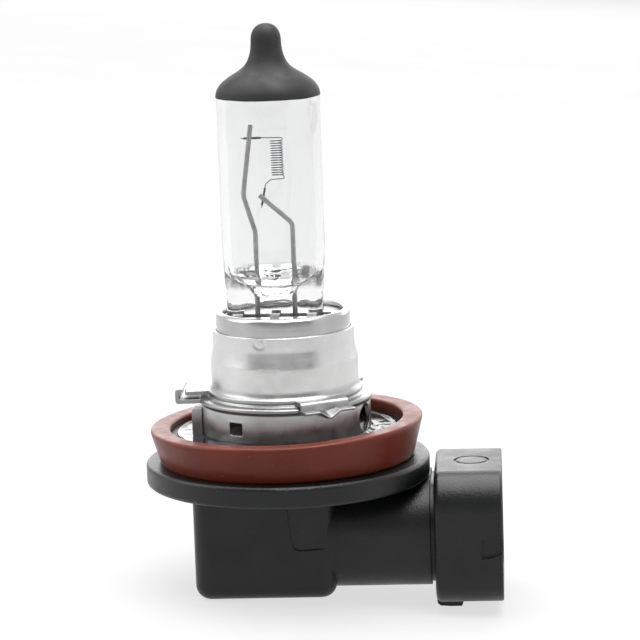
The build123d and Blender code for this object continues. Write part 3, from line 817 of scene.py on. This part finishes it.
# The lugs at 60 and 300 degrees have a V detent, and the sleeve's tab over each follows it.
DETENT_LUGS_AT = (60, 300)
KEYED_LUG_AT = 180
DETENT_LUG_WIDTH, KEYED_LUG_WIDTH, TAB_WIDTH = 5.6, 4.4, 5.3


def detent_dip(t):
    """Depth of the V notch pressed into a lug, over its width."""
    deepest, slope, half_width = 0.60, 0.68, 1.10
    return min(deepest, slope * max(0.0, 1 - abs(t) / half_width))


def tab_shift(r, z, t):
    return r, z - detent_dip(t) * smooth_step(0.95, 0.45, z) * smooth_step(8.5, 8.8, r)


bent_tab = [
    (7.70, 0.81), (8.60, 0.80), (8.78, 0.74), (8.86, 0.60), (8.90, 0.36), (9.26, 0.36),
    (9.22, 0.60), (9.14, 0.90), (9.04, 1.06), (8.90, 1.15), (8.60, 1.19), (7.70, 1.20),
]
flat_tab = [(7.70, 0.82), (10.32, 0.82), (10.40, 0.90), (10.40, 1.12), (10.32, 1.19), (7.70, 1.19)]
tabs = [prism(bent_tab, TAB_WIDTH, 54, math.radians(deg), tab_shift) for deg in DETENT_LUGS_AT]
tabs.append(sector(flat_tab, start=132, end=191, steps=40))
focus = make_object("focus_sleeve_shell", *merge(sleeve, *tabs), smooth_angle=36)
adopt(focus, "focus_sleeve", sleeve_mat)

# ---- base ring ------------------------------------------------------------------------------

WALL_R = 8.75
OPENINGS_Z = -1.70
WINDOW_AT = math.radians(-121.7)
WINDOW_HALF_WIDTH, WINDOW_HALF_HEIGHT, WINDOW_CORNER_R = 0.80, 0.65, 0.20
VENT_AT = math.radians(-18)
VENT_R = 1.45
BURR = 0.10
BASE_SMOOTH_ANGLE = 36


def base_warp(r, z, a):
    """Slight waves, and a raised burr round the window and the vent."""
    if r > 8.7 and z > -3.0:
        r += 0.020 * rough(2 * math.cos(a), 2 * math.sin(a), z * 0.4, 0.7)
        across = abs(angle_gap(a, WINDOW_AT) * WALL_R) - WINDOW_HALF_WIDTH
        outside = max(across, abs(z - OPENINGS_Z) - WINDOW_HALF_HEIGHT)
        r += 0.03 * blob(outside - BURR, 0.12)
        outside = math.hypot(angle_gap(a, VENT_AT) * WALL_R, z - OPENINGS_Z) - VENT_R
        r += 0.03 * blob(outside - BURR, 0.13)
    return r, z


wall = [(8.60, -6.0), (8.60, -3.35)] + refine([(8.74, -3.1), (8.75, -0.55)], 0.10)
wall += [
    (8.745, -0.40), (8.73, -0.28), (8.73, -0.18), (8.77, -0.09), (8.86, -0.03), (8.94, 0.05),
    (8.98, 0.15), (8.98, 0.29), (8.94, 0.40), (8.86, 0.47), (8.74, 0.50), (8.20, 0.51),
    (8.08, 0.53), (8.01, 0.60), (7.98, 0.72), (7.90, 0.79), (6.78, 0.79), (6.70, 0.72),
    (6.70, 0.48), (6.76, 0.40), (7.75, 0.40), (7.90, 0.30), (8.00, 0.12), (8.12, 0.06),
    (8.30, -0.08), (8.35, -0.40), (8.35, -3.0), (8.20, -3.4), (8.20, -6.0),
]
wall_shell = lathe(wall, segments=360, warp=base_warp, ring=True)
base_shell = make_object("base_ring_shell", *wall_shell, smooth_angle=BASE_SMOOTH_ANGLE)


def wall_cutter(name, angle, outline):
    """A (sideways, height) outline carried through the wall at an angle round the axis."""
    inside_r, outside_r = 7.6, 9.6
    c, s = math.cos(angle), math.sin(angle)
    loops = [[(r * c - t * s, r * s + t * c, z) for t, z in outline] for r in (inside_r, outside_r)]
    return make_object(name, *loft(loops))


corner_x = WINDOW_HALF_WIDTH - WINDOW_CORNER_R
corner_z = WINDOW_HALF_HEIGHT - WINDOW_CORNER_R
window = []
for side_x, side_z, start in ((1, 1, 0), (-1, 1, 90), (-1, -1, 180), (1, -1, 270)):
    cx, cz = side_x * corner_x, OPENINGS_Z + side_z * corner_z
    window += arc(cx, cz, WINDOW_CORNER_R, start, start + 90, steps=5)
vent_sides = 60
vent = arc(0, OPENINGS_Z, VENT_R, 0, 360 - 360 / vent_sides, vent_sides - 1)
cut(base_shell, wall_cutter("window_cut", WINDOW_AT, window))
cut(base_shell, wall_cutter("vent_cut", VENT_AT, vent))
bm = bmesh.new()
bm.from_mesh(base_shell.data)
store(bm, base_shell.data, BASE_SMOOTH_ANGLE)

hemmed_outline = [
    (8.50, 0.02), (10.98, 0.00), (11.12, 0.05), (11.22, 0.16), (11.25, 0.32), (11.25, 1.20),
    (11.21, 1.36), (11.10, 1.46), (10.95, 1.50), (10.55, 1.50), (10.49, 1.44), (10.49, 1.27),
    (10.55, 1.21), (10.72, 1.20), (10.82, 1.14), (10.85, 1.04), (10.85, 0.58), (10.81, 0.46),
    (10.70, 0.40), (8.50, 0.42),
]
flat_outline = [
    (8.50, 0.02), (9.40, 0.02), (10.30, 0.13), (10.40, 0.16), (10.44, 0.22), (10.45, 0.28),
    (10.43, 0.34), (10.38, 0.39), (10.28, 0.41), (8.50, 0.42),
]


def detent_lug(r, z, t):
    """The V notch pressed into the outer part of a lug."""
    return r, z - detent_dip(t) * smooth_step(8.95, 9.25, r)


def keyed_lug(r, z, t):
    """A slight twist."""
    return r, z + 0.03 * math.sin(1.7 * t) * smooth_step(9, 11, r)


lug_list = (
    (DETENT_LUGS_AT[0], flat_outline, DETENT_LUG_WIDTH, detent_lug),
    (KEYED_LUG_AT, hemmed_outline, KEYED_LUG_WIDTH, keyed_lug),
    (DETENT_LUGS_AT[1], flat_outline, DETENT_LUG_WIDTH, detent_lug),
)
lugs = [prism(outline, width, 56, math.radians(deg), shape) for deg, outline, width, shape in lug_list]
lug_obj = make_object("locking_lugs", *merge(*lugs), smooth_angle=30)
adopt(lug_obj, "base_ring", base_mat)

key_outline = [
    (8.55, -3.4), (9.50, -3.4), (9.58, -3.3), (9.60, -3.1), (9.60, -0.85), (9.55, -0.66),
    (9.42, -0.56), (8.55, -0.50),
]
key_pad = prism(key_outline, KEYED_LUG_WIDTH, 12, math.radians(KEYED_LUG_AT))
key_obj = make_object("key_pad", *key_pad, smooth_angle=30)
adopt(key_obj, "base_ring", base_mat)
adopt(base_shell, "base_ring", base_mat)

# ---- potting and seal -----------------------------------------------------------------------

POTTING_LOW, POTTING_HIGH = -4.2, -3.24
POTTING_INNER_R, POTTING_OUTER_R = 8.45, 11.32
LUMPS_AT = math.radians(-32)


def potting_warp(r, z, a):
    """Poured compound: drawn up both walls, gently wavy, and lumpy towards the socket."""
    if z > -3.9:
        x, y = r * math.cos(a), r * math.sin(a)
        lumps = smooth_step(1.1, 0.3, abs(angle_gap(a, LUMPS_AT)))
        z += 0.07 * rough(x, y, 1.0, 2.4) + lumps * 0.20 * rough(x, y, 7.0, 0.9)
        z += 0.22 * blob(r - 8.6, 0.25) + 0.16 * blob(r - 11.3, 0.22)
        z -= 0.10
    return r, z


potting_profile = [(POTTING_INNER_R, POTTING_LOW)]
potting_profile += refine([(POTTING_INNER_R, POTTING_HIGH), (POTTING_OUTER_R, POTTING_HIGH)], 0.12)
potting_profile += [(POTTING_OUTER_R, POTTING_LOW)]
potting_shell = lathe(potting_profile, segments=300, warp=potting_warp, ring=True)
sealant = make_object("potting", *potting_shell, smooth_angle=60)
adopt(sealant, "sealing_compound", potting_mat)


def seal_warp(r, z, a):
    """The soft seal sits a little uneven: lower at the key side, higher towards the socket."""
    t = smooth_step(-6.15, -2.3, z)
    x, y = math.cos(a), math.sin(a)
    z += 0.028 * r * x * (0.30 + 0.70 * t)
    z += 0.04 * rough(x * 2, y * 2, 0.3, 0.9) * t
    r += 0.05 * rough(x * 2, y * 2, 4.0, 0.9)
    return r, z


seal_profile = refine([(12.05, -6.0), (12.05, -2.62)], 0.5)
seal_profile += [(12.07, -2.50), (12.13, -2.41), (12.24, -2.36)]
seal_profile += refine([(12.5, -2.34), (13.74, -2.31)], 0.3)
seal_profile += [(13.88, -2.32), (13.99, -2.38), (14.07, -2.48), (14.09, -2.60), (14.06, -2.76)]
seal_profile += refine([(14.0, -3.0), (13.22, -5.85)], 0.35)
seal_profile += [(13.17, -6.02), (13.06, -6.13), (12.9, -6.17), (12.2, -6.17)]
seal_shell = lathe(seal_profile, segments=300, warp=seal_warp, ring=True)
seal = make_object("seal", *seal_shell, smooth_angle=60)
adopt(seal, "seal_ring", rubber_mat)

# ---- pieces shown as the frame has them -----------------------------------------------------

shown = {
    "socket_housing": housing_mat, "pinch_clip": clip_mat, "lead_insulator": insulator_mat,
    "terminal_carrier": insulator_mat, "long_lead_strap": terminal_mat,
    "short_lead_strap": terminal_mat, "long_side_terminal": terminal_mat,
    "short_side_terminal": terminal_mat,
}
for name, material in shown.items():
    nodes[name].data.materials.clear()
    nodes[name].data.materials.append(material)

# ---- floor, light and camera ----------------------------------------------------------------

FLOOR_HALF = 4.0
CARD_HALF_WIDTH, CARD_Y, CARD_LOW, CARD_HIGH = 0.62, -0.42, -0.01, 0.55


def sheet(name, corners, material):
    """A flat four-cornered sheet of the studio, in metres."""
    mesh = bpy.data.meshes.new(name)
    mesh.from_pydata(corners, [], [(0, 1, 2, 3)])
    mesh.materials.append(material)
    obj = bpy.data.objects.new(name, mesh)
    bpy.context.scene.collection.objects.link(obj)
    return obj


# A white table top, lit a little from within so that the shadow on it stays pale.
white = Shader(
    "floor_white", Roughness=0.6, Specular_IOR_Level=0.0,
    Emission_Color=(1, 1, 1, 1), Emission_Strength=0.68,
)
floor_mat = white.done(white.two_tone(white.noise(scale=40, detail=3), grey(0.15), grey(0.16)))

# The two places where the lamp rests: the body's lower left edge and the latch ramp.
rest_left = Vector((-8.0, 0, -19.80))
rest_right = Vector((17.3, 0, -21.55))
slope = math.atan2(rest_right.z - rest_left.z, rest_right.x - rest_left.x)
floor = sheet(
    "floor",
    [(x * FLOOR_HALF, y * FLOOR_HALF, 0) for x, y in ((-1, -1), (1, -1), (1, 1), (-1, 1))],
    floor_mat,
)
floor.location = rest_left * MM
floor.rotation_euler = (0, -slope, 0)

# A grey card beyond the camera, which the shiny pieces mirror.
dark_grey = Shader("card_dark", Roughness=0.9, Specular_IOR_Level=0.0)
card_mat = dark_grey.done(dark_grey.two_tone(dark_grey.noise(scale=8, detail=2), grey(0.20), grey(0.24)))
card = sheet(
    "studio_card",
    [(-CARD_HALF_WIDTH, CARD_Y, CARD_LOW), (CARD_HALF_WIDTH, CARD_Y, CARD_LOW),
     (CARD_HALF_WIDTH, CARD_Y, CARD_HIGH), (-CARD_HALF_WIDTH, CARD_Y, CARD_HIGH)],
    card_mat,
)

world = bpy.data.worlds.new("studio")
world.use_nodes = True
world.node_tree.nodes["Background"].inputs["Color"].default_value = (1, 1, 1, 1)
world.node_tree.nodes["Background"].inputs["Strength"].default_value = 1.0
bpy.context.scene.world = world


def softbox(name, place, size, power):
    """A rectangular light, in metres and watts, that faces the lamp."""
    light = bpy.data.lights.new(name, "AREA")
    light.shape = "RECTANGLE"
    light.size, light.size_y = size
    light.energy = power
    obj = bpy.data.objects.new(name, light)
    obj.location = place
    obj.rotation_euler = (-Vector(place)).to_track_quat("-Z", "Y").to_euler()
    bpy.context.scene.collection.objects.link(obj)


softbox("soft_left", place=(-0.50, -0.02, 0.38), size=(0.45, 0.42), power=1.2)
softbox("soft_top", place=(0.04, 0.02, 0.52), size=(0.70, 0.46), power=5.4)
softbox("soft_back", place=(0.15, 0.85, 0.22), size=(1.30, 0.34), power=3.1)

# The camera was fitted to the circular edges in the photograph.
EYE = Vector((24.06, -299.03, 61.03))
AIM = Vector((3.80, 0.3136, 7.99))
ROLL = math.radians(-2.0)

camera_data = bpy.data.cameras.new("camera")
camera_data.sensor_width = 36
camera_data.lens = 166.28
camera_data.clip_start = 0.01
camera_data.clip_end = 50
camera = bpy.data.objects.new("camera", camera_data)
ahead = (AIM - EYE).normalized()
level = ahead.cross(Vector((0, 0, 1))).normalized()
upright = level.cross(ahead)
right = level * math.cos(ROLL) + upright * math.sin(ROLL)
up = upright * math.cos(ROLL) - level * math.sin(ROLL)
camera.matrix_world = Matrix((
    (right.x, up.x, -ahead.x, EYE.x * MM),
    (right.y, up.y, -ahead.y, EYE.y * MM),
    (right.z, up.z, -ahead.z, EYE.z * MM),
    (0, 0, 0, 1),
))
bpy.context.scene.collection.objects.link(camera)
bpy.context.scene.camera = camera
bpy.context.scene.view_settings.view_transform = "Standard"
